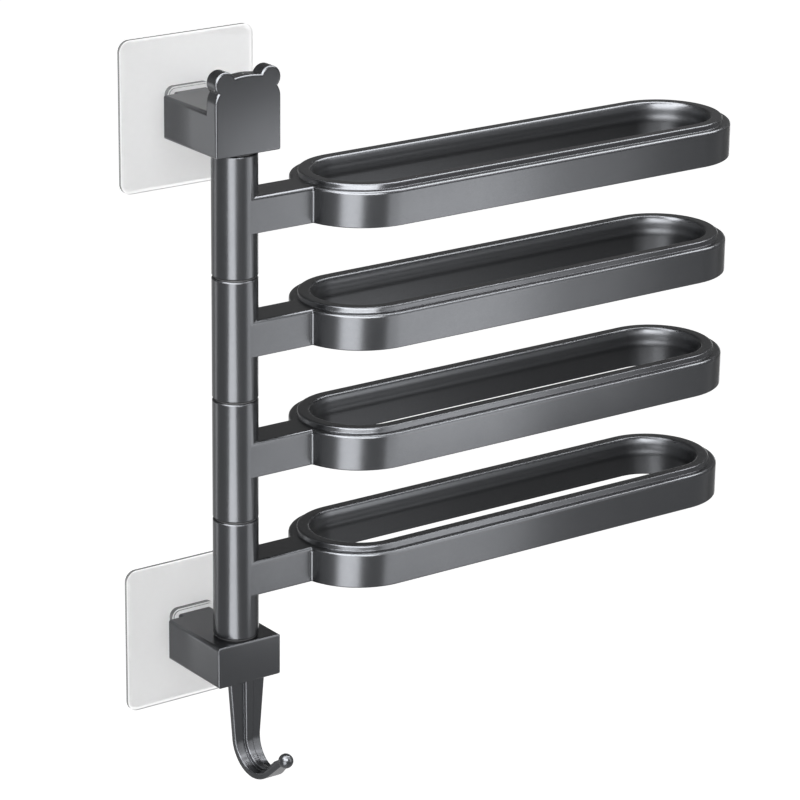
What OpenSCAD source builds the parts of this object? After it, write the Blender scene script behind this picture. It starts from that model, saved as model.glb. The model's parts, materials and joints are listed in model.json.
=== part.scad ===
// Swing arm towel bar: four looped arms turn on one upright post between two wall brackets.
// Millimetres, +Z up, +Y into the wall. The origin is the middle of the lower wall plate's back.

/* [Wall plates] */
// Side of each square clear plate
plate_side = 80; // [66:1:110]
// Corner radius of the clear plate
plate_corner = 6; // [2:0.5:12]
// Thickness of the clear sheet
plate_thick = 1; // [0.8:0.1:3]
// Thickness of the adhesive sheet behind it
glue_thick = 0.8; // [0.4:0.1:1.5]
// Side of the raised boss on the plate
boss_side = 27; // [24:0.5:34]
// Corner radius of the boss
boss_corner = 4.5; // [2:0.5:8]
// Height of the boss above the sheet
boss_rise = 3.5; // [2:0.5:6]
// Width of the tongue that the bracket hangs on
tongue_width = 13; // [11:0.5:15]
// Width of the tongue's stem
stem_width = 8; // [6:0.5:10]
// Length of the stem, from the boss to the tongue
stem_length = 2; // [1.5:0.1:3]
// Thickness of the tongue
tongue_thick = 2.2; // [1.5:0.1:3]
// Height of the tongue
tongue_height = 14; // [10:0.5:16]

/* [Brackets] */
// Width of both brackets
bracket_width = 39; // [34:0.2:48]
// Height of the bracket blocks
bracket_height = 23; // [21:0.5:30]
// Distance from the post's axis to the brackets' front face
bracket_front = 13; // [12.9:0.1:16]
// Distance from the post's axis back to the block's rear face
bracket_back = 35.9; // [28:0.1:50]
// Radius on the edges of the brackets
bracket_round = 1.2; // [0.6:0.1:2]
// Radius of the four corners of the brackets' front outline
bracket_corner = 2.2; // [1.2:0.1:4]
// Width of the neck behind each block
neck_width = 20; // [18:0.5:24]
// Depth of the neck
neck_depth = 4.5; // [4:0.1:8]
// How far the neck is set in from the block's top and bottom
neck_inset = 0.7; // [0.4:0.1:2]

/* [Head plate] */
// Thickness of the head plate
head_thick = 9; // [6:0.1:9.1]
// Height of the crown above the bracket's underside
head_height = 40.9; // [38:0.1:46]
// Height at which the head's sides begin to curve in
shoulder_height = 27.5; // [26:0.1:30]
// Radius of the shoulders
shoulder_radius = 10.4; // [6:0.2:11]
// Radius of the crown's arch
crown_radius = 48; // [26:1:60]
// Radius of the ears
ear_radius = 6.1; // [4.5:0.1:6.5]
// Height of the ears' centres above the bracket's underside
ear_height = 37.8; // [36:0.2:40]

/* [Hook] */
// Drop from the lower bracket to the bottom of the hook
hook_drop = 48.9; // [44:0.1:70]
// Width of the strap at the bracket
strap_width = 21.6; // [16:0.2:28]
// Width of the strap where the bend begins
bend_width = 16; // [11:0.2:22]
// Width of the strap at the bottom of the bend
low_width = 13.6; // [9:0.2:18]
// Width of the strap at the tip
tip_width = 6.4; // [5.4:0.2:8]
// Thickness of the strap
strap_thick = 3.4; // [2.5:0.1:5]
// Width of the rib along the strap
rib_width = 5; // [3:0.1:6]
// Height of the rib above the strap
rib_rise = 2; // [1:0.1:3]
// Radius of the bend, to the middle of the strap
bend_radius = 15.8; // [13:0.1:24]
// How far the bend turns past its lowest point, in degrees
bend_lift = 43.5; // [30:0.5:70]
// Length of the straight tip
tip_length = 15; // [8:0.2:20]
// Radius of the ball at the tip
ball_radius = 4; // [3.4:0.1:6]

/* [Post] */
// Outer radius of the sleeves
sleeve_radius = 12; // [11:0.1:12.4]
// Length of each sleeve
sleeve_length = 64.5; // [58:0.1:90]
// Chamfer on the sleeves' ends
sleeve_chamfer = 0.6; // [0.3:0.1:1]
// Thickness of the washers in the seams
washer_thick = 0.8; // [0.5:0.1:2]
// Outer radius of the washers
washer_radius = 11; // [10:0.1:11.2]
// Radius of the spindle
spindle_radius = 6; // [5:0.1:7]
// Depth of the spindle's seat in each bracket
spindle_seat = 14; // [8:0.5:15]
// Outer radius of the bushes
bush_radius = 9; // [8.2:0.1:9.8]
// Length of each bush
bush_length = 12; // [6:0.5:20]

/* [Screws] */
// Radius of the screws' threads
screw_radius = 2; // [1.5:0.1:2.6]
// Length of the screws below their heads
screw_length = 14; // [10:0.5:18]
// Radius of the screws' heads
screw_head_radius = 3.5; // [3:0.1:3.6]
// Height of the screws' heads
screw_head_height = 4; // [2.5:0.1:4.4]
// Size of the hexagon socket, across its corners
socket_width = 3.4; // [2.4:0.1:4.4]
// Depth of the hexagon socket
socket_depth = 2.2; // [1:0.1:2.4]

/* [Arms] */
// Height of the bar's underside above the sleeve's lower end
bar_lift = 23.4; // [16:0.2:30]
// Width of the bar
bar_width = 21; // [16:0.2:22]
// Height of the bar and of the loop's ledge
bar_height = 19.1; // [17:0.1:21]
// Radius on the bar's upper edges
bar_round = 2; // [0.5:0.1:3]
// Fillet where the bar meets the loop
bar_fillet = 2; // [1:0.1:4]
// Distance from the post's axis to the centre of the loop's near end
loop_reach = 75.6; // [66:0.2:110]
// Length of the loop's straight sides
loop_straight = 201; // [120:1:300]
// Outer radius of the loop's ends, which is half its width
loop_radius = 37; // [30:0.2:44]
// How far the loop's middle lies in front of the post's axis
loop_forward = 2.8; // [0:0.2:5]

/* [Loop section] */
// Height of the loop
ring_height = 21.8; // [21.6:0.1:25]
// Width of the ledge outside the ridge
ledge_width = 4; // [3:0.1:5]
// Radius of the outer bevel below the ledge
bevel_radius = 1.8; // [0.8:0.1:2.6]
// How far the ridge's outer face leans in
ridge_lean = 0.5; // [0.1:0.1:1]
// Radius on the ridge's outer edge
ridge_round = 1; // [0.3:0.1:1.2]
// Width from the outer wall to the inner end of the ridge's flat top
ridge_width = 9.7; // [8.5:0.1:12]
// Radius of the lip inside the ridge
lip_round = 1.6; // [0.5:0.1:2.2]
// Radius of the flared mouth below the lip
flare_radius = 9; // [5:0.5:12]
// Slope of the flare at the lip, in degrees from upright
flare_angle = 30; // [15:1:40]
// Radius of the cove half way down the inner wall
cove_radius = 10; // [6:0.5:13]
// Slope of the cove's middle, in degrees from upright
cove_angle = 18; // [8:1:24]
// Radius on the lower edges of the loop and the bar
base_round = 0.6; // [0.4:0.1:1.5]

/* [Fits] */
// Radial clearance of the bushes on the spindle, and of the spindle in its seats
running_gap = 0.05; // [0.02:0.01:0.1]
// Radial clearance of the bushes in the sleeves
seat_gap = 0.02; // [0.01:0.01:0.05]
// Clearance of the tongue in its slot
slide_gap = 0.2; // [0.1:0.05:0.3]
// Clearance between a washer and the sleeve on each side of it
end_gap = 0.05; // [0.02:0.01:0.1]
// Clearance around the screws' threads in the brackets
screw_gap = 0.3; // [0.1:0.05:0.4]
// Clearance of the washers round the spindle
washer_gap = 0.2; // [0.1:0.05:0.5]

/* [Hidden] */
$fn = 96;

// Overrun of every cut past the face it opens
cut = 1;
// Steps along a small round, along a flare or cove, and along the hook's bend
round_steps = 4;
flare_steps = 5;
bend_steps = 18;

gunmetal = "#54575b";
clear_grey = [0.88, 0.89, 0.9, 0.5];
adhesive_white = [0.93, 0.93, 0.92, 0.8];
nylon_white = "#e6e4dc";
washer_black = "#1d1e20";
steel_grey = "#a9acb0";

// Places along Y, from the wall outwards
plate_front = glue_thick + plate_thick;
boss_front = plate_front + boss_rise;
axis_out = boss_front + neck_depth + bracket_back;

// Places along Z
arm_count = 4;
sleeve_pitch = sleeve_length + washer_thick + 2 * end_gap;
stack_bottom = bracket_height / 2;
stack_height = arm_count * sleeve_pitch + washer_thick + 2 * end_gap;
upper_middle = stack_bottom + stack_height + bracket_height / 2;
spindle_bottom = stack_bottom - spindle_seat;
spindle_length = stack_height + 2 * spindle_seat;

// The bar's front face lies a hair inside the sleeve's front, so that the two meet in a line
bar_tuck = 0.1;
bar_front = sleeve_radius - bar_tuck;
// The fillets between bar and loop run a hair into the loop's wall, where they end
corner_tuck = 0.05;
// The sleeve is relieved between its bushes
relief_radius = (bush_radius + spindle_radius) / 2;
bush_chamfer = 0.4;
spindle_chamfer = 0.8;
// The hook's rib lies a hair behind the bracket's front face
rib_tuck = 0.05;
hook_root = 3;
strap_chamfer = 0.5;
rib_chamfer = 0.4;
boss_round = 0.8;
washer_hole = spindle_radius + washer_gap;

// Lower end of arm n's sleeve, counted from the top
function sleeve_z(n) = stack_bottom + (arm_count - n) * sleeve_pitch + washer_thick + 2 * end_gap;

// Points of an arc about a centre, from one angle to another
function arc(centre, radius, from, to, steps) =
    [for (i = [0 : steps]) let (a = from + (to - from) * i / steps)
        centre + radius * [cos(a), sin(a)]];

// Flat and solid helpers

module rounded_rect(size, radius) {
    union() {
        translate([-size.x / 2 + radius, -size.y / 2]) square([size.x - 2 * radius, size.y]);
        translate([-size.x / 2, -size.y / 2 + radius]) square([size.x, size.y - 2 * radius]);
        for (sx = [-1, 1], sy = [-1, 1])
            translate([sx * (size.x / 2 - radius), sy * (size.y / 2 - radius)]) circle(r = radius);
    }
}

// A block centred on X and Z, from Y = 0 outwards to -size.y. Its twelve edges are rounded, those
// along Y by the radius of the corners of its front outline
module rounded_block(size, radius, corner) {
    intersection() {
        translate([0, -size.y / 2, -size.z / 2])
            linear_extrude(size.z) rounded_rect([size.x, size.y], radius);
        rotate([90, 0, 0])
            linear_extrude(size.y) rounded_rect([size.x, size.z], corner);
        translate([-size.x / 2, -size.y / 2, 0])
            rotate([90, 0, 90]) linear_extrude(size.x) rounded_rect([size.y, size.z], radius);
    }
}

// A disc lying from Y = 0 outwards to -thick, with round rims
module rimmed_disc(radius, thick, rim) {
    rotate([90, 0, 0])
        rotate_extrude()
            union() {
                square([radius - rim, thick]);
                translate([0, rim]) square([radius, thick - 2 * rim]);
                for (z = [rim, thick - rim]) translate([radius - rim, z]) circle(r = rim);
            }
}

// Wall plates

module sheet(thick) {
    rotate([90, 0, 0]) linear_extrude(thick) rounded_rect([plate_side, plate_side], plate_corner);
}

module adhesive_sheet(z) {
    color(adhesive_white) translate([0, 0, z]) sheet(glue_thick);
}

module clear_plate(z) {
    color(clear_grey)
        translate([0, 0, z]) {
            translate([0, -glue_thick, 0]) sheet(plate_thick);
            translate([0, -plate_front, 0]) boss();
            translate([0, -boss_front, 0]) tongue(0, tongue_height);
        }
}

module boss() {
    rotate([90, 0, 0]) {
        linear_extrude(boss_rise - boss_round)
            rounded_rect([boss_side, boss_side], boss_corner);
        linear_extrude(boss_rise)
            rounded_rect([boss_side - 2 * boss_round, boss_side - 2 * boss_round],
                boss_corner - boss_round);
    }
}

// The tongue, or the slot for it when a gap is given
module tongue(gap, height) {
    translate([-stem_width / 2 - gap, -stem_length - gap, -tongue_height / 2])
        cube([stem_width + 2 * gap, stem_length + gap, height]);
    translate([-tongue_width / 2 - gap, -stem_length - tongue_thick - gap, -tongue_height / 2])
        cube([tongue_width + 2 * gap, tongue_thick + 2 * gap, height]);
}

// Brackets

module bracket_body() {
    translate([0, -boss_front - neck_depth, 0])
        rounded_block([bracket_width, bracket_back + bracket_front, bracket_height],
            bracket_round, bracket_corner);
    translate([0, -boss_front, 0])
        rounded_neck();
}

module rounded_neck() {
    neck_height = bracket_height - 2 * neck_inset;
    rotate([90, 0, 0])
        linear_extrude(neck_depth + 2 * bracket_round)
            rounded_rect([neck_width, neck_height], bracket_round);
}

// Slot that drops over the tongue, open at the bracket's underside
module tongue_slot() {
    translate([0, -boss_front, -bracket_height / 2 + tongue_height / 2 - cut])
        tongue(slide_gap, bracket_height / 2 + tongue_height / 2 + slide_gap + cut);
    translate([-stem_width / 2 - slide_gap, -boss_front, -bracket_height / 2 - cut])
        cube([stem_width + 2 * slide_gap, cut,
            bracket_height / 2 + tongue_height / 2 + slide_gap + cut]);
}

// Seat for the spindle, and a stepped hole for the screw that holds it
module spindle_holes() {
    head_room = screw_head_height + screw_gap;
    translate([0, -axis_out, 0]) {
        translate([0, 0, bracket_height / 2 - spindle_seat])
            cylinder(r = spindle_radius + running_gap, h = spindle_seat + cut);
        translate([0, 0, -bracket_height / 2 - cut])
            cylinder(r = screw_radius + screw_gap, h = bracket_height);
        translate([0, 0, -bracket_height / 2 - cut])
            cylinder(r = screw_head_radius + screw_gap, h = head_room + cut);
    }
}

module lower_bracket() {
    color(gunmetal)
        difference() {
            union() {
                bracket_body();
                hook();
            }
            tongue_slot();
            spindle_holes();
        }
}

module upper_bracket() {
    color(gunmetal)
        translate([0, 0, upper_middle])
            difference() {
                union() {
                    bracket_body();
                    translate([0, -axis_out - bracket_front + head_thick, -bracket_height / 2])
                        head_plate();
                }
                tongue_slot();
                mirror([0, 0, 1]) spindle_holes();
            }
}

// Head plate, from its underside at Z = 0 and its back at Y = 0
module head_plate() {
    side = bracket_width / 2;
    ear_x = side - ear_radius;
    core_x = side - shoulder_radius;
    crown_half = ear_x - ear_radius / 2;
    intersection() {
        translate([0, 0, head_height / 2])
            rounded_block([bracket_width, head_thick, head_height],
                bracket_round, bracket_corner);
        translate([-side, -head_thick, 0]) cube([2 * side, head_thick, shoulder_height]);
    }
    for (s = [-1, 1]) {
        intersection() {
            translate([s * core_x, 0, shoulder_height])
                rimmed_disc(shoulder_radius, head_thick, bracket_round);
            translate([-side, -head_thick, shoulder_height])
                cube([2 * side, head_thick, shoulder_radius]);
        }
        translate([s * ear_x, 0, ear_height]) rimmed_disc(ear_radius, head_thick, bracket_round);
    }
    translate([-core_x, -head_thick, shoulder_height])
        cube([2 * core_x, head_thick, shoulder_radius]);
    intersection() {
        translate([0, 0, head_height - crown_radius])
            rimmed_disc(crown_radius, head_thick, bracket_round);
        translate([-crown_half, -head_thick, shoulder_height])
            cube([2 * crown_half, head_thick, head_height - shoulder_height]);
    }
}

// Hook: a ribbed strap that narrows along its length, lofted down, round the bend and up to a ball

hook_top = -bracket_height / 2 + hook_root;
strap_y = -axis_out - bracket_front + rib_tuck + rib_rise + strap_thick / 2;
bend_y = strap_y - bend_radius;
bend_z = -bracket_height / 2 - hook_drop + strap_thick / 2 + bend_radius;
bend_turn = 90 + bend_lift;
straight_length = hook_top - bend_z;
bend_length = bend_radius * PI * bend_turn / 180;
hook_length = straight_length + bend_length + tip_length;
low_length = straight_length + bend_length * 90 / bend_turn;
// Share of the tip's length over which the rib runs out
rib_end_share = 0.6;

// Turn of the strap's direction after a given length, in degrees from straight down
function hook_turn(s) =
    max(0, min(bend_turn, (s - straight_length) / bend_length * bend_turn));

// Place of the strap's middle in Y and Z after a given length
function hook_point(s) =
    let (t = hook_turn(s), extra = max(0, s - straight_length - bend_length))
    s < straight_length ? [strap_y, hook_top - s]
        : [bend_y + bend_radius * cos(t) - extra * sin(t),
            bend_z - bend_radius * sin(t) - extra * cos(t)];

// Width of the strap after a given length
function strap_at(s) = lookup(s, [[0, strap_width], [straight_length, bend_width],
    [low_length, low_width], [hook_length, tip_width]]);

// Half of the strap's outline across its width, from the back round to the rib's face
function strap_half(width, rib, rise) = let (e = strap_thick / 2) [
    [width / 2 - strap_chamfer, -e],
    [width / 2, -e + strap_chamfer],
    [width / 2, e - strap_chamfer],
    [width / 2 - strap_chamfer, e],
    [rib / 2, e],
    [rib / 2, e + rise - rise / rib_rise * rib_chamfer],
    [rib / 2 - rib_chamfer, e + rise]
];

function strap_outline(width, rib, rise) =
    let (half = strap_half(width, rib, rise), n = len(half))
    concat(half, [for (i = [n - 1 : -1 : 0]) [-half[i].x, half[i].y]]);

// The strap's outline set square to its path after a given length
function hook_section(s) =
    let (p = hook_point(s), t = hook_turn(s), along = s / hook_length, width = strap_at(s),
        rib = rib_width * (1 - along) + tip_width / 2 * along,
        left = (hook_length - s) / (tip_length * rib_end_share),
        rise = rib_rise * max(strap_chamfer / rib_rise / 2, min(1, left)))
    [for (q = strap_outline(width, rib, rise))
        [q.x, p.x - q.y * cos(t), p.y + q.y * sin(t)]];

hook_stations = concat([0], [for (i = [0 : bend_steps])
        straight_length + bend_length * i / bend_steps],
    [hook_length - tip_length * rib_end_share, hook_length]);

module hook() {
    rings = [for (s = hook_stations) hook_section(s)];
    n = len(rings[0]);
    last = len(rings) - 1;
    points = [for (ring = rings) each ring];
    sides = [for (k = [0 : last - 1], i = [0 : n - 1]) let (j = (i + 1) % n)
        each [[k * n + i, (k + 1) * n + i, k * n + j],
            [k * n + j, (k + 1) * n + i, (k + 1) * n + j]]];
    ends = [[for (i = [0 : n - 1]) i], [for (i = [n - 1 : -1 : 0]) last * n + i]];
    tip = hook_point(hook_length);
    polyhedron(points = points, faces = concat(sides, ends));
    translate([0, tip.x, tip.y]) rotate([180 - bend_turn, 0, 0]) sphere(r = ball_radius);
}

// Post

module spindle() {
    color(steel_grey)
        translate([0, -axis_out, spindle_bottom])
            difference() {
                rotate_extrude()
                    polygon([
                        [0, 0],
                        [spindle_radius - spindle_chamfer, 0],
                        [spindle_radius, spindle_chamfer],
                        [spindle_radius, spindle_length - spindle_chamfer],
                        [spindle_radius - spindle_chamfer, spindle_length],
                        [0, spindle_length]
                    ]);
                for (z = [-cut, spindle_length - screw_length])
                    translate([0, 0, z])
                        cylinder(r = screw_radius + seat_gap, h = screw_length + cut);
            }
}

// Screw with its head downwards, measured from the head's outer face up
module spindle_screw() {
    difference() {
        union() {
            cylinder(r = screw_head_radius, h = screw_head_height);
            cylinder(r = screw_radius, h = screw_head_height + screw_length);
        }
        translate([0, 0, -cut]) cylinder(d = socket_width, h = socket_depth + cut, $fn = 6);
    }
}

module lower_spindle_screw() {
    color(steel_grey)
        translate([0, -axis_out, -bracket_height / 2 + screw_gap]) spindle_screw();
}

module upper_spindle_screw() {
    color(steel_grey)
        translate([0, -axis_out, upper_middle + bracket_height / 2 - screw_gap])
            mirror([0, 0, 1]) spindle_screw();
}

// Washer n lies above arm n's sleeve, and the last one lies below the lowest sleeve
module washer(n) {
    z = n > arm_count ? stack_bottom : sleeve_z(n) + sleeve_length;
    color(washer_black)
        translate([0, -axis_out, z + end_gap])
            difference() {
                cylinder(r = washer_radius, h = washer_thick);
                translate([0, 0, -cut]) cylinder(r = washer_hole, h = washer_thick + 2 * cut);
            }
}

// Bush standing on Z = 0, with its chamfered outer edge at the top
module bush() {
    inner = spindle_radius + running_gap;
    outer = bush_radius - seat_gap;
    rotate_extrude()
        polygon([
            [inner, 0],
            [outer, 0],
            [outer, bush_length - bush_chamfer],
            [outer - bush_chamfer, bush_length],
            [inner, bush_length]
        ]);
}

module bottom_bush(n) {
    color(nylon_white) translate([0, -axis_out, sleeve_z(n)]) bush();
}

module top_bush(n) {
    color(nylon_white)
        translate([0, -axis_out, sleeve_z(n) + sleeve_length]) mirror([0, 0, 1]) bush();
}

// Arms

// Outline of the loop across its rim: the first number runs in from the outer wall, the second up
function ring_outline() =
    let (ridge_u = ledge_width + ridge_lean,
        lip = [ridge_width, ring_height - lip_round],
        lip_end = lip + lip_round * [cos(flare_angle), sin(flare_angle)],
        flare = lip_end - flare_radius * [cos(flare_angle), sin(flare_angle)],
        wall = flare + [flare_radius, 0],
        cove = wall + [cove_radius, 0],
        cove_end = cove - cove_radius * [cos(cove_angle), sin(cove_angle)],
        swell = cove_end - cove_radius * [cos(cove_angle), sin(cove_angle)],
        foot = swell.x + cove_radius)
    concat(
        arc([base_round, base_round], base_round, 270, 180, round_steps),
        arc([bevel_radius, bar_height - bevel_radius], bevel_radius, 180, 90, round_steps),
        [[ledge_width, bar_height]],
        arc([ridge_u + ridge_round, ring_height - ridge_round], ridge_round, 180, 90, round_steps),
        arc(lip, lip_round, 90, flare_angle, round_steps),
        [for (i = [1 : flare_steps]) let (a = flare_angle * (1 - i / flare_steps))
            flare + flare_radius * [cos(a), sin(a)]],
        [for (i = [1 : flare_steps]) let (a = cove_angle * i / flare_steps)
            cove - cove_radius * [cos(a), sin(a)]],
        [for (i = [1 : flare_steps]) let (a = cove_angle * (1 - i / flare_steps))
            swell + cove_radius * [cos(a), sin(a)]],
        arc([foot - base_round, base_round], base_round, 0, -90, round_steps)
    );

// The loop, with the centre of its near end at the origin
module ring() {
    outline = ring_outline();
    for (far = [0, 1])
        translate([far * loop_straight, 0, 0])
            rotate([0, 0, far ? -90 : 90])
                rotate_extrude(angle = 180)
                    polygon([for (p = outline) [loop_radius - p.x, p.y]]);
    for (s = [0, 1])
        translate([s * loop_straight, 0, 0])
            rotate([90, 0, s ? -90 : 90])
                linear_extrude(loop_straight)
                    polygon([for (p = outline) [loop_radius - p.x, p.y]]);
}

// Fillet between one side of the bar and the loop's near end
module bar_corner(side_y, out) {
    reach = loop_radius + bar_fillet - corner_tuck;
    mid_y = side_y + out * bar_fillet;
    mid_x = loop_reach - sqrt(reach * reach - pow(mid_y + loop_forward, 2));
    touch = [mid_x, mid_y]
        + bar_fillet / reach * ([loop_reach, -loop_forward] - [mid_x, mid_y]);
    translate([0, 0, base_round])
        linear_extrude(bar_height - max(bar_round, bevel_radius) - base_round)
            difference() {
                polygon([[mid_x, mid_y], [mid_x, side_y - out * bar_round],
                    [touch.x + bar_round, side_y - out * bar_round],
                    [touch.x + bar_round, touch.y], touch]);
                translate([mid_x, mid_y]) circle(r = bar_fillet);
            }
}

// Outline of the bar, standing on its underside
module bar_outline() {
    half = bar_width / 2;
    union() {
        translate([-half + bar_round, 0]) square([bar_width - 2 * bar_round, bar_height]);
        translate([-half + base_round, 0])
            square([bar_width - 2 * base_round, bar_height - bar_round]);
        translate([-half, base_round])
            square([bar_width, bar_height - bar_round - base_round]);
        for (s = [-1, 1]) {
            translate([s * (half - bar_round), bar_height - bar_round]) circle(r = bar_round);
            translate([s * (half - base_round), base_round]) circle(r = base_round);
        }
    }
}

module bar() {
    end = loop_reach - loop_radius + ridge_width - lip_round;
    translate([0, bar_width / 2 - bar_front, 0])
        rotate([90, 0, 90])
            linear_extrude(end) bar_outline();
    bar_corner(-bar_front, -1);
    bar_corner(bar_width - bar_front, 1);
}

module sleeve() {
    rotate_extrude()
        polygon([
            [0, 0],
            [sleeve_radius - sleeve_chamfer, 0],
            [sleeve_radius, sleeve_chamfer],
            [sleeve_radius, sleeve_length - sleeve_chamfer],
            [sleeve_radius - sleeve_chamfer, sleeve_length],
            [0, sleeve_length]
        ]);
}

module arm(n) {
    color(gunmetal)
        translate([0, -axis_out, sleeve_z(n)])
            difference() {
                union() {
                    sleeve();
                    translate([0, 0, bar_lift]) {
                        bar();
                        translate([loop_reach, -loop_forward, 0]) ring();
                    }
                }
                translate([0, 0, -cut]) cylinder(r = relief_radius, h = sleeve_length + 2 * cut);
                for (z = [-cut, sleeve_length - bush_length])
                    translate([0, 0, z]) cylinder(r = bush_radius, h = bush_length + cut);
            }
}

// Assembly

adhesive_sheet(0);  // lower_adhesive_sheet
adhesive_sheet(upper_middle);  // upper_adhesive_sheet
clear_plate(0);  // lower_clear_plate
clear_plate(upper_middle);  // upper_clear_plate
lower_bracket();
upper_bracket();
spindle();
lower_spindle_screw();
upper_spindle_screw();
washer(1);  // washer_1
washer(2);  // washer_2
washer(3);  // washer_3
washer(4);  // washer_4
washer(5);  // washer_5
arm(1);  // arm_1
arm(2);  // arm_2
arm(3);  // arm_3
arm(4);  // arm_4
top_bush(1);  // arm_1_top_bush
top_bush(2);  // arm_2_top_bush
top_bush(3);  // arm_3_top_bush
top_bush(4);  // arm_4_top_bush
bottom_bush(1);  // arm_1_bottom_bush
bottom_bush(2);  // arm_2_bottom_bush
bottom_bush(3);  // arm_3_bottom_bush
bottom_bush(4);  // arm_4_bottom_bush
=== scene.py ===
"""Looks of the swing arm towel bar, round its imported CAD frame. Metres, +Z up, +Y into the wall."""
import json
import math

import bpy
from mathutils import Matrix, Vector

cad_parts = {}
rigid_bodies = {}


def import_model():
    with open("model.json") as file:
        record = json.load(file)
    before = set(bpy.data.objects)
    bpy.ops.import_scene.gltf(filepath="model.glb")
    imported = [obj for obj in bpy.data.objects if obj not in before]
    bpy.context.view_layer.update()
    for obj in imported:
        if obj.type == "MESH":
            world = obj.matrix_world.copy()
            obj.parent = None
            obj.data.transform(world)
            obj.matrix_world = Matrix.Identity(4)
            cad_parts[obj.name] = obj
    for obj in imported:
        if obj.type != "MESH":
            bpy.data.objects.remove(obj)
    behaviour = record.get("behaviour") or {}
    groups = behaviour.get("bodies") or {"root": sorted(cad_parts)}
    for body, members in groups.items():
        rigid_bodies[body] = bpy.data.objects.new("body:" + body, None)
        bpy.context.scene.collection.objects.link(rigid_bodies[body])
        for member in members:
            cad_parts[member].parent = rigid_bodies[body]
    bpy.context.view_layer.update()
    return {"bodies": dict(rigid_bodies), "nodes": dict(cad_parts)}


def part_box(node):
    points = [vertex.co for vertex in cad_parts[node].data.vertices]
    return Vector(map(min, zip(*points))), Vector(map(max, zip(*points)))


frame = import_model()

scene = bpy.context.scene
nodes = frame["nodes"]
own = set(nodes.values()) | set(frame["bodies"].values())
for other in list(scene.objects):
    if other not in own:
        bpy.data.objects.remove(other)

WHITE = (1.0, 1.0, 1.0, 1.0)


# Camera: the photograph's view with upright shift left out, so that every other view is centred

CAMERA_PLACE = (-0.96114, -1.51644, 0.74907)
CAMERA_YAW = 0.626942
CAMERA_PITCH = 0.332926
CAMERA_ROLL = 0.012422
CAMERA_LENS = 162.857
CAMERA_NEAR = 0.05
CAMERA_FAR = 60
SENSOR = 36.0


def make_camera():
    cos_p = math.cos(CAMERA_PITCH)
    ahead = Vector((math.sin(CAMERA_YAW) * cos_p, math.cos(CAMERA_YAW) * cos_p,
                    -math.sin(CAMERA_PITCH)))
    level = Vector((math.cos(CAMERA_YAW), -math.sin(CAMERA_YAW), 0.0))
    upright = level.cross(ahead)
    right = level * math.cos(CAMERA_ROLL) + upright * math.sin(CAMERA_ROLL)
    up = upright * math.cos(CAMERA_ROLL) - level * math.sin(CAMERA_ROLL)
    data = bpy.data.cameras.new("camera")
    data.lens = CAMERA_LENS
    data.sensor_width = SENSOR
    data.clip_start = CAMERA_NEAR
    data.clip_end = CAMERA_FAR
    camera = bpy.data.objects.new("camera", data)
    turn = Matrix((right, up, -ahead)).transposed().to_4x4()
    camera.matrix_world = Matrix.Translation(CAMERA_PLACE) @ turn
    scene.collection.objects.link(camera)
    scene.camera = camera


# Small helpers for node trees. Noise scales are per metre, and bump distances in metres.

NOISE_LOW = 0.3
NOISE_HIGH = 0.7
BEVEL_SAMPLES = 6


def add(tree, kind, **values):
    node = tree.nodes.new(kind)
    for key, value in values.items():
        setattr(node, key, value)
    return node


def feed(tree, value, socket):
    """Links the socket to another node's output, or sets it where value is a number or colour."""
    if isinstance(value, bpy.types.NodeSocket):
        tree.links.new(value, socket)
    else:
        socket.default_value = value


def empty_material(name):
    material = bpy.data.materials.new(name)
    material.use_nodes = True
    tree = material.node_tree
    tree.nodes.clear()
    return material, tree, add(tree, "ShaderNodeOutputMaterial").inputs["Surface"]


def new_material(name):
    material, tree, surface = empty_material(name)
    shader = add(tree, "ShaderNodeBsdfPrincipled")
    tree.links.new(shader.outputs["BSDF"], surface)
    return material, tree, shader


def object_place(tree):
    return add(tree, "ShaderNodeTexCoord").outputs["Object"]


def split(tree, vector):
    parts = add(tree, "ShaderNodeSeparateXYZ")
    tree.links.new(vector, parts.inputs[0])
    return parts.outputs


def noise(tree, place, scale, detail, rough=0.5):
    node = add(tree, "ShaderNodeTexNoise")
    node.inputs["Scale"].default_value = scale
    node.inputs["Detail"].default_value = detail
    node.inputs["Roughness"].default_value = rough
    tree.links.new(place, node.inputs["Vector"])
    return node.outputs["Fac"]


def spread(tree, value, low, high, low_in=NOISE_LOW, high_in=NOISE_HIGH):
    """Maps value from low_in..high_in to low..high, and holds it there outside."""
    node = add(tree, "ShaderNodeMapRange")
    for name, number in (("From Min", low_in), ("From Max", high_in),
                         ("To Min", low), ("To Max", high)):
        node.inputs[name].default_value = number
    tree.links.new(value, node.inputs["Value"])
    return node.outputs["Result"]


def ramp(tree, value, dark, light, low_in=NOISE_LOW, high_in=NOISE_HIGH):
    node = add(tree, "ShaderNodeValToRGB")
    for element, place, colour in zip(node.color_ramp.elements, (low_in, high_in), (dark, light)):
        element.position = place
        element.color = (*colour, 1.0)
    tree.links.new(value, node.inputs["Fac"])
    return node.outputs["Color"]


def calculate(tree, operation, first, second=None, clamp=False):
    node = add(tree, "ShaderNodeMath", operation=operation, use_clamp=clamp)
    feed(tree, first, node.inputs[0])
    if second is not None:
        feed(tree, second, node.inputs[1])
    return node.outputs[0]


def length_of(tree, across, along):
    squares = [calculate(tree, "MULTIPLY", side, side) for side in (across, along)]
    return calculate(tree, "SQRT", calculate(tree, "ADD", *squares))


def mix_colours(tree, share, first, second, blend="MIX"):
    node = add(tree, "ShaderNodeMix", data_type="RGBA", blend_type=blend)
    feed(tree, share, node.inputs[0])
    feed(tree, first, node.inputs[6])
    feed(tree, second, node.inputs[7])
    return node.outputs[2]


def mix_shaders(tree, share, first, second):
    node = add(tree, "ShaderNodeMixShader")
    tree.links.new(share, node.inputs["Fac"])
    tree.links.new(first, node.inputs[1])
    tree.links.new(second, node.inputs[2])
    return node.outputs[0]


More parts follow.
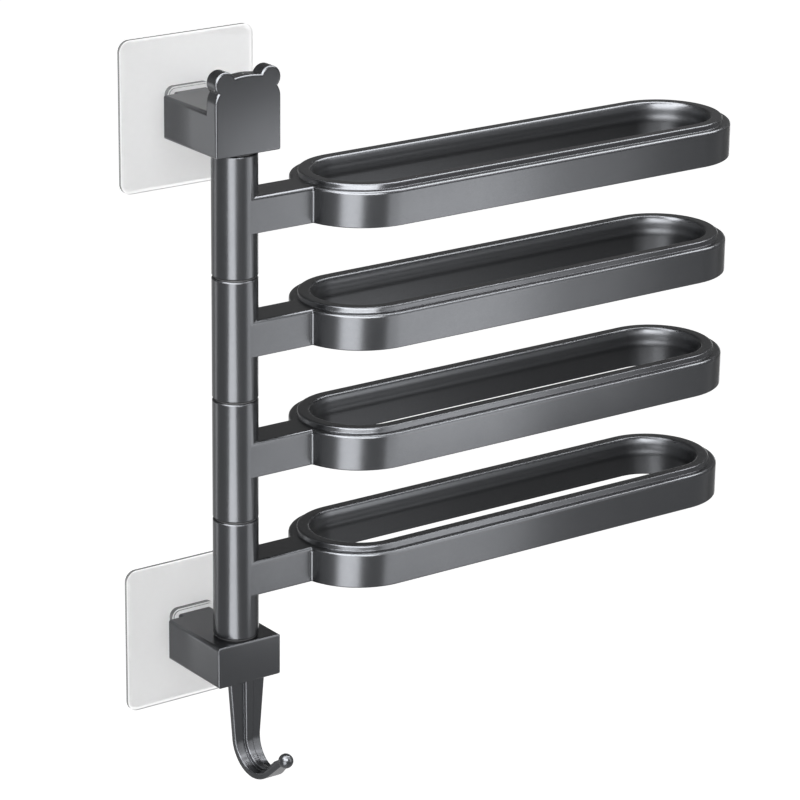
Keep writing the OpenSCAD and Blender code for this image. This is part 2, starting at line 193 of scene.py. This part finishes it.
def bump(tree, shader, layers, bevel_radius=0.0):
    """Stacks bumps, each (height, (distance, strength)), on an optional rounded-edge normal."""
    normal = None
    if bevel_radius:
        edge = add(tree, "ShaderNodeBevel", samples=BEVEL_SAMPLES)
        edge.inputs["Radius"].default_value = bevel_radius
        normal = edge.outputs["Normal"]
    for height, (distance, strength) in layers:
        node = add(tree, "ShaderNodeBump")
        node.inputs["Distance"].default_value = distance
        node.inputs["Strength"].default_value = strength
        tree.links.new(height, node.inputs["Height"])
        if normal:
            tree.links.new(normal, node.inputs["Normal"])
        normal = node.outputs["Normal"]
    tree.links.new(normal, shader.inputs["Normal"])


# Gunmetal paint of the arms and brackets, with painted shade on the loops' inner walls

LOOP_STRAIGHT = 0.201
# Distances from the loops' middle line: the painted shade on the inner walls is full up to the wall
# and ends at the lip, and the rougher paint there ends just past the lip
INNER_WALL = 0.0240
INNER_LIP = 0.0250
INNER_FADE = 0.0008
# Painted shade: the base colour on the loops' inner walls is multiplied by this grey
INNER_PAINTED_SHADE = (0.42, 0.42, 0.42, 1.0)
INNER_ROUGH = 0.11
MOTTLE_SCALE = 45.0
MOTTLE_DARK = (0.0600, 0.0620, 0.0655)
MOTTLE_LIGHT = (0.0640, 0.0660, 0.0695)
FLAKE_SCALE = 3200.0
FLAKE_DARK = (0.90, 0.90, 0.91)
FLAKE_LIGHT = (1.10, 1.10, 1.11)
FLAKE_LOW = 0.35
FLAKE_BUMP = (0.000004, 0.05)
PEEL_SCALE = 500.0
PEEL_BUMP = (0.000006, 0.04)
PAINT_METALLIC = 0.9
PAINT_ROUGH = (0.24, 0.27)
PAINT_BEVEL = 0.0006


def loop_distance(tree, place):
    """How far a point lies from the middle line of the arms' loops at rest, seen from above."""
    low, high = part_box("arm_1")
    middle_x = high[0] - (high[1] - low[1]) / 2 - LOOP_STRAIGHT / 2
    middle_y = (low[1] + high[1]) / 2
    parts = split(tree, place)
    along = calculate(tree, "ABSOLUTE", calculate(tree, "SUBTRACT", parts["X"], middle_x))
    past_straight = calculate(tree, "SUBTRACT", along, LOOP_STRAIGHT / 2)
    beyond = calculate(tree, "MAXIMUM", past_straight, 0.0)
    return length_of(tree, beyond, calculate(tree, "SUBTRACT", parts["Y"], middle_y))


def gunmetal_paint():
    material, tree, shader = new_material("gunmetal_paint")
    place = object_place(tree)
    mottle = noise(tree, place, MOTTLE_SCALE, 3.0)
    flake = noise(tree, place, FLAKE_SCALE, 2.0)
    peel = noise(tree, place, PEEL_SCALE, 2.0)
    shade = ramp(tree, mottle, MOTTLE_DARK, MOTTLE_LIGHT)
    sparkle = ramp(tree, flake, FLAKE_DARK, FLAKE_LIGHT, low_in=FLAKE_LOW)
    coat = mix_colours(tree, 1.0, shade, sparkle, "MULTIPLY")

    # the loops' inner walls get painted shade, a darker base colour, and a rougher finish
    inside = loop_distance(tree, place)
    painted_shade_share = spread(tree, inside, 1.0, 0.0, INNER_WALL, INNER_LIP)
    coat = mix_colours(tree, painted_shade_share, coat, INNER_PAINTED_SHADE, "MULTIPLY")
    dry = spread(tree, inside, INNER_ROUGH, 0.0, INNER_LIP, INNER_LIP + INNER_FADE)
    rough = calculate(tree, "ADD", spread(tree, peel, *PAINT_ROUGH), dry)

    tree.links.new(coat, shader.inputs["Base Color"])
    tree.links.new(rough, shader.inputs["Roughness"])
    shader.inputs["Metallic"].default_value = PAINT_METALLIC
    bump(tree, shader, [(peel, PEEL_BUMP), (flake, FLAKE_BUMP)], PAINT_BEVEL)
    return material


# Clear plastic of the wall plates, with painted shade on the cut edges

FACE_FROM = 0.9
EDGE_FROM = 0.5
HAZE_SCALE = 300.0
HAZE_BUMP = (0.00002, 0.1)
CLEAR_DARK = (0.955, 0.955, 0.957)
CLEAR_LIGHT = (0.975, 0.975, 0.977)
# Painted shade: the near-black tint of the cut edges
CLEAR_EDGE_PAINTED_SHADE = (0.02, 0.021, 0.022, 1.0)
CLEAR_IOR = 1.47
CLEAR_SPECULAR = 0.05
CLEAR_ROUGH = (0.28, 0.36)


def cut_edge(tree):
    """0 on the broad faces of a sheet that lies along the wall, 1 on the cut edges round it."""
    normal = split(tree, add(tree, "ShaderNodeNewGeometry").outputs["True Normal"])
    towards_wall = calculate(tree, "ABSOLUTE", normal["Y"])
    return spread(tree, towards_wall, 1.0, 0.0, EDGE_FROM, FACE_FROM)


def clear_plastic():
    material, tree, shader = new_material("clear_plastic")
    haze = noise(tree, object_place(tree), HAZE_SCALE, 3.0)
    clear = ramp(tree, haze, CLEAR_DARK, CLEAR_LIGHT)
    # the cut edges get painted shade
    tint = mix_colours(tree, cut_edge(tree), clear, CLEAR_EDGE_PAINTED_SHADE)
    tree.links.new(tint, shader.inputs["Base Color"])
    tree.links.new(spread(tree, haze, *CLEAR_ROUGH), shader.inputs["Roughness"])
    shader.inputs["Transmission Weight"].default_value = 1.0
    shader.inputs["IOR"].default_value = CLEAR_IOR
    shader.inputs["Specular IOR Level"].default_value = CLEAR_SPECULAR
    bump(tree, shader, [(haze, HAZE_BUMP)])
    return material


# Adhesive sheets: part-clear, with a clear rim, and painted shade on the cut edges. Their alpha acts
# on the front and on the back face.

PAD_CORNER = 0.006
PAD_RIM = 0.0011
PAD_RIM_END = PAD_RIM * 1.4
CELL_SCALE = 900.0
CELL_BUMP = (0.00003, 0.3)
GEL_DARK = (0.25, 0.252, 0.255)
GEL_LIGHT = (0.29, 0.292, 0.295)
# Painted shade: the near-black tint of the cut edges, made nearly opaque by GEL_EDGE_ALPHA
GEL_EDGE_PAINTED_SHADE = (0.05, 0.052, 0.055, 1.0)
GEL_FACE_ALPHA = 0.295
GEL_EDGE_ALPHA = 0.8
GEL_ROUGH = (0.45, 0.6)


def pad_distance(tree, place):
    """How far a point lies inside the outline of either adhesive sheet, both rounded squares."""
    lower_low, lower_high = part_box("lower_adhesive_sheet")
    upper_low, upper_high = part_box("upper_adhesive_sheet")
    lower_middle = (lower_low[2] + lower_high[2]) / 2
    upper_middle = (upper_low[2] + upper_high[2]) / 2
    flat = (lower_high[0] - lower_low[0]) / 2 - PAD_CORNER

    parts = split(tree, place)
    from_between = calculate(tree, "SUBTRACT", parts["Z"], (lower_middle + upper_middle) / 2)
    from_between = calculate(tree, "ABSOLUTE", from_between)
    from_middle = calculate(tree, "SUBTRACT", from_between, (upper_middle - lower_middle) / 2)
    past_flat = []
    for side in (parts["X"], from_middle):
        reach = calculate(tree, "SUBTRACT", calculate(tree, "ABSOLUTE", side), flat)
        past_flat.append(calculate(tree, "MAXIMUM", reach, 0.0))
    return calculate(tree, "SUBTRACT", PAD_CORNER, length_of(tree, *past_flat))


def adhesive_gel():
    material, tree, shader = new_material("adhesive_gel")
    place = object_place(tree)
    cells = noise(tree, place, CELL_SCALE, 4.0, rough=0.6)
    edge = cut_edge(tree)
    # the cut edges get painted shade
    tint = mix_colours(tree, edge, ramp(tree, cells, GEL_DARK, GEL_LIGHT), GEL_EDGE_PAINTED_SHADE)
    on_face = spread(tree, pad_distance(tree, place), 0.0, GEL_FACE_ALPHA, PAD_RIM, PAD_RIM_END)
    on_edge = spread(tree, edge, 0.0, GEL_EDGE_ALPHA, 0.0, 1.0)
    tree.links.new(tint, shader.inputs["Base Color"])
    tree.links.new(calculate(tree, "MAXIMUM", on_face, on_edge), shader.inputs["Alpha"])
    tree.links.new(spread(tree, cells, *GEL_ROUGH), shader.inputs["Roughness"])
    bump(tree, shader, [(cells, CELL_BUMP)])
    return material


# Turned steel of the spindle and its screws

RING_SCALE = 120.0
RING_STRETCH = (1.0, 1.0, 40.0)
RING_BUMP = (0.00002, 0.3)
STEEL_DARK = (0.52, 0.53, 0.54)
STEEL_LIGHT = (0.62, 0.63, 0.64)
STEEL_ROUGH = (0.24, 0.34)
STEEL_BEVEL = 0.0002


def turned_steel():
    material, tree, shader = new_material("turned_steel")
    stretch = add(tree, "ShaderNodeMapping")
    stretch.inputs["Scale"].default_value = RING_STRETCH
    tree.links.new(object_place(tree), stretch.inputs["Vector"])
    rings = noise(tree, stretch.outputs["Vector"], RING_SCALE, 3.0)
    tree.links.new(ramp(tree, rings, STEEL_DARK, STEEL_LIGHT), shader.inputs["Base Color"])
    tree.links.new(spread(tree, rings, *STEEL_ROUGH), shader.inputs["Roughness"])
    shader.inputs["Metallic"].default_value = 1.0
    bump(tree, shader, [(rings, RING_BUMP)], STEEL_BEVEL)
    return material


# Nylon of the bushes and washers

GRAIN_SCALE = 1100.0
GRAIN_BUMP = (0.00003, 0.3)
BUSH_DARK = (0.70, 0.69, 0.64)
BUSH_LIGHT = (0.76, 0.75, 0.70)
BUSH_ROUGH = (0.38, 0.50)
WASHER_DARK = (0.016, 0.016, 0.018)
WASHER_LIGHT = (0.024, 0.024, 0.026)
WASHER_ROUGH = (0.50, 0.62)


def matt_plastic(name, dark, light, rough):
    material, tree, shader = new_material(name)
    grain = noise(tree, object_place(tree), GRAIN_SCALE, 3.0)
    tree.links.new(ramp(tree, grain, dark, light), shader.inputs["Base Color"])
    tree.links.new(spread(tree, grain, *rough), shader.inputs["Roughness"])
    bump(tree, shader, [(grain, GRAIN_BUMP)])
    return material


SLOT_MATERIALS = {
    "gunmetal": gunmetal_paint(),
    "clear_plastic": clear_plastic(),
    "adhesive": adhesive_gel(),
    "steel": turned_steel(),
    "bush": matt_plastic("bush_nylon", BUSH_DARK, BUSH_LIGHT, BUSH_ROUGH),
    "washer": matt_plastic("washer_nylon", WASHER_DARK, WASHER_LIGHT, WASHER_ROUGH),
}


# Shading of the CAD solids: smooth over their small facets, sharp at their true edges

SHARP_ANGLE = math.radians(32)
DOUBLED_WITHIN = 0.000002


def geometry_group(name):
    tree = bpy.data.node_groups.new(name, "GeometryNodeTree")
    for way in ("INPUT", "OUTPUT"):
        tree.interface.new_socket("Geometry", in_out=way, socket_type="NodeSocketGeometry")
    return tree, add(tree, "NodeGroupInput").outputs[0], add(tree, "NodeGroupOutput").inputs[0]


def joining_group():
    """Joins doubled corners and drops the stored normals, so the later modifiers see one skin."""
    tree, start, end = geometry_group("join_doubled_corners")
    drop = add(tree, "GeometryNodeRemoveAttribute")
    drop.inputs["Name"].default_value = "custom_normal"
    merge = add(tree, "GeometryNodeMergeByDistance")
    merge.inputs["Distance"].default_value = DOUBLED_WITHIN
    tree.links.new(start, drop.inputs["Geometry"])
    tree.links.new(drop.outputs["Geometry"], merge.inputs["Geometry"])
    tree.links.new(merge.outputs["Geometry"], end)
    return tree


def smoothing_group():
    """Makes every face smooth, and every edge above SHARP_ANGLE sharp."""
    tree, start, end = geometry_group("smooth_small_facets")
    angle = add(tree, "GeometryNodeInputMeshEdgeAngle").outputs["Unsigned Angle"]
    faces = add(tree, "GeometryNodeSetShadeSmooth", domain="FACE")
    faces.inputs["Shade Smooth"].default_value = True
    tree.links.new(start, faces.inputs["Geometry"])
    last = faces
    for operation, is_smooth in (("LESS_EQUAL", True), ("GREATER_THAN", False)):
        chosen = add(tree, "FunctionNodeCompare", data_type="FLOAT", operation=operation)
        chosen.inputs["B"].default_value = SHARP_ANGLE
        tree.links.new(angle, chosen.inputs["A"])
        edges = add(tree, "GeometryNodeSetShadeSmooth", domain="EDGE")
        edges.inputs["Shade Smooth"].default_value = is_smooth
        tree.links.new(last.outputs["Geometry"], edges.inputs["Geometry"])
        tree.links.new(chosen.outputs["Result"], edges.inputs["Selection"])
        last = edges
    tree.links.new(last.outputs["Geometry"], end)
    return tree


joining = joining_group()
smoothing = smoothing_group()
for node in nodes.values():
    slot = node.material_slots[0].material.name.split(".")[0]
    node.material_slots[0].material = SLOT_MATERIALS[slot]
    join = node.modifiers.new("join_doubled_corners", "NODES")
    join.node_group = joining
    smooth = node.modifiers.new("smooth_small_facets", "NODES")
    smooth.node_group = smoothing
    weigh = node.modifiers.new("weigh_normals", "WEIGHTED_NORMAL")
    weigh.mode = "FACE_AREA"
    weigh.keep_sharp = True


# World and floor. A strength of 1 is white. Metal sees them darker than the camera does.

WORLD_LIGHT = 0.45
DARK_SIDE = (0.35, 0.75, 0.56)
DARK_FROM = 0.5
DARK_TO = 0.85
DARK_LEVEL = 0.2
PALE_LEVEL = 0.6
FLOOR_LEVEL = -0.9
FLOOR_REACH = 9.0
FLOOR_COLOUR = (0.8, 0.8, 0.8, 1.0)
FLOOR_GLOW = 0.68
FLOOR_GLOSS = 0.4


def seen_share(tree):
    """1 for camera rays and for those that metal and clear plastic send on, 0 for the rest."""
    path = add(tree, "ShaderNodeLightPath").outputs
    glossy_too = calculate(tree, "MAXIMUM", path["Is Camera Ray"], path["Is Glossy Ray"])
    return calculate(tree, "MAXIMUM", glossy_too, path["Is Transmission Ray"])


def mirrored_share(tree):
    """1 for rays that metal sends on, 0 for the rest, those through clear plastic among them."""
    path = add(tree, "ShaderNodeLightPath").outputs
    return calculate(tree, "SUBTRACT", path["Is Glossy Ray"], path["Is Transmission Ray"],
                     clamp=True)


def make_world():
    """White to the camera and through clear plastic, and grey in metal, darkest up and behind."""
    world = bpy.data.worlds.new("studio")
    scene.world = world
    world.use_nodes = True
    tree = world.node_tree
    tree.nodes.clear()
    behind = add(tree, "ShaderNodeVectorMath", operation="DOT_PRODUCT")
    behind.inputs[1].default_value = DARK_SIDE
    tree.links.new(add(tree, "ShaderNodeTexCoord").outputs["Generated"], behind.inputs[0])
    in_metal = spread(tree, behind.outputs["Value"], PALE_LEVEL, DARK_LEVEL, DARK_FROM, DARK_TO)
    level = add(tree, "ShaderNodeMix", data_type="FLOAT")
    tree.links.new(mirrored_share(tree), level.inputs[0])
    level.inputs[2].default_value = 1.0
    tree.links.new(in_metal, level.inputs[3])

    light = add(tree, "ShaderNodeBackground")
    seen = add(tree, "ShaderNodeBackground")
    for background, strength in ((light, WORLD_LIGHT), (seen, level.outputs[0])):
        background.inputs["Color"].default_value = WHITE
        feed(tree, strength, background.inputs["Strength"])
    both = mix_shaders(tree, seen_share(tree), light.outputs[0], seen.outputs[0])
    tree.links.new(both, add(tree, "ShaderNodeOutputWorld").inputs["Surface"])


def rectangle(name, width, depth, level, material):
    signs = ((-1, -1), (1, -1), (1, 1), (-1, 1))
    corners = [(x * width / 2, y * depth / 2, level) for x, y in signs]
    mesh = bpy.data.meshes.new(name)
    mesh.from_pydata(corners, [], [(0, 1, 2, 3)])
    mesh.materials.append(material)
    piece = bpy.data.objects.new(name, mesh)
    scene.collection.objects.link(piece)
    return piece


def make_floor():
    """A matt floor with a glow that only seen rays meet, so that it keeps the object's shadow."""
    material, tree, surface = empty_material("floor_white")
    matt = add(tree, "ShaderNodeBsdfDiffuse")
    matt.inputs["Color"].default_value = FLOOR_COLOUR
    glow = add(tree, "ShaderNodeEmission")
    glow.inputs["Color"].default_value = WHITE
    share = calculate(tree, "MULTIPLY", seen_share(tree), FLOOR_GLOW)
    dim = spread(tree, mirrored_share(tree), 1.0, FLOOR_GLOSS, 0.0, 1.0)
    tree.links.new(calculate(tree, "MULTIPLY", share, dim), glow.inputs["Strength"])
    both = add(tree, "ShaderNodeAddShader")
    tree.links.new(matt.outputs[0], both.inputs[0])
    tree.links.new(glow.outputs[0], both.inputs[1])
    tree.links.new(both.outputs[0], surface)
    floor = rectangle("floor", 2 * FLOOR_REACH, 2 * FLOOR_REACH, FLOOR_LEVEL, material)


# Lights: soft boxes that the camera doesn't see, and a grey card

MIDDLE = (0.12, -0.05, 0.14)
# Name, place, aim, width, height, radiance
SIDE_LIGHTS = [
    ("left_front", (-0.823, -0.817, -0.20), (0.0, -0.05, 0.05), 0.72, 1.0, 8.0),
    ("front_panel", (0.185, -0.235, 0.0875), (0.185, 0.0, 0.0875), 0.18, 0.305, 2.8),
    ("front_haze", (0.27, -0.245, 0.140), (0.27, 0.0, 0.140), 0.19, 0.20, 1.4),
    ("left_back", (-0.70, 0.87, -0.15), MIDDLE, 0.30, 0.6, 2.0),
    ("right_back", (1.02, 0.76, -0.17), MIDDLE, 0.7, 0.7, 1.2),
    ("right_fill", (0.80, -0.72, 1.03), MIDDLE, 0.6, 0.45, 3.0),
]
# These two light by reflection alone, so they brighten no matt surface
OVER_LIGHTS = [
    ("over_top", (0.1, -0.055, 1.00), (0.1, -0.05, 0.14), 2.4, 0.60, 13.0),
    ("over_camera", (-0.40, -0.71, 0.685), MIDDLE, 1.2, 0.75, 15.0),
]
CARD_PLACE = (1.3, 0.25, -0.15)
CARD_SIZE = (0.9, 1.1)
CARD_COLOUR = (0.3, 0.3, 0.3, 1.0)
CARD_ROUGH = 0.9


def put(thing, place, aim):
    thing.location = place
    thing.rotation_euler = (Vector(aim) - Vector(place)).to_track_quat("-Z", "Y").to_euler()
    thing.visible_camera = False


def area_light(name, place, aim, width, height, radiance):
    """A soft box of an even brightness, where 1 is the white of the background."""
    data = bpy.data.lights.new(name, "AREA")
    data.shape = "RECTANGLE"
    data.size = width
    data.size_y = height
    data.energy = radiance * math.pi * width * height
    lamp = bpy.data.objects.new(name, data)
    put(lamp, place, aim)
    scene.collection.objects.link(lamp)
    return lamp


def grey_card():
    """A card at the right that metal mirrors. The camera and clear plastic don't see it."""
    material, tree, surface = empty_material("right_card")
    shader = add(tree, "ShaderNodeBsdfPrincipled")
    shader.inputs["Base Color"].default_value = CARD_COLOUR
    shader.inputs["Roughness"].default_value = CARD_ROUGH
    through = add(tree, "ShaderNodeLightPath").outputs["Is Transmission Ray"]
    nothing = add(tree, "ShaderNodeBsdfTransparent").outputs[0]
    tree.links.new(mix_shaders(tree, through, shader.outputs["BSDF"], nothing), surface)
    card = rectangle("right_card", *CARD_SIZE, 0.0, material)
    put(card, CARD_PLACE, MIDDLE)
    card.visible_shadow = False
    card.visible_diffuse = False


make_camera()
make_world()
make_floor()
for row in SIDE_LIGHTS:
    area_light(*row)
for row in OVER_LIGHTS:
    area_light(*row).visible_diffuse = False
grey_card()

scene.view_settings.view_transform = "Standard"
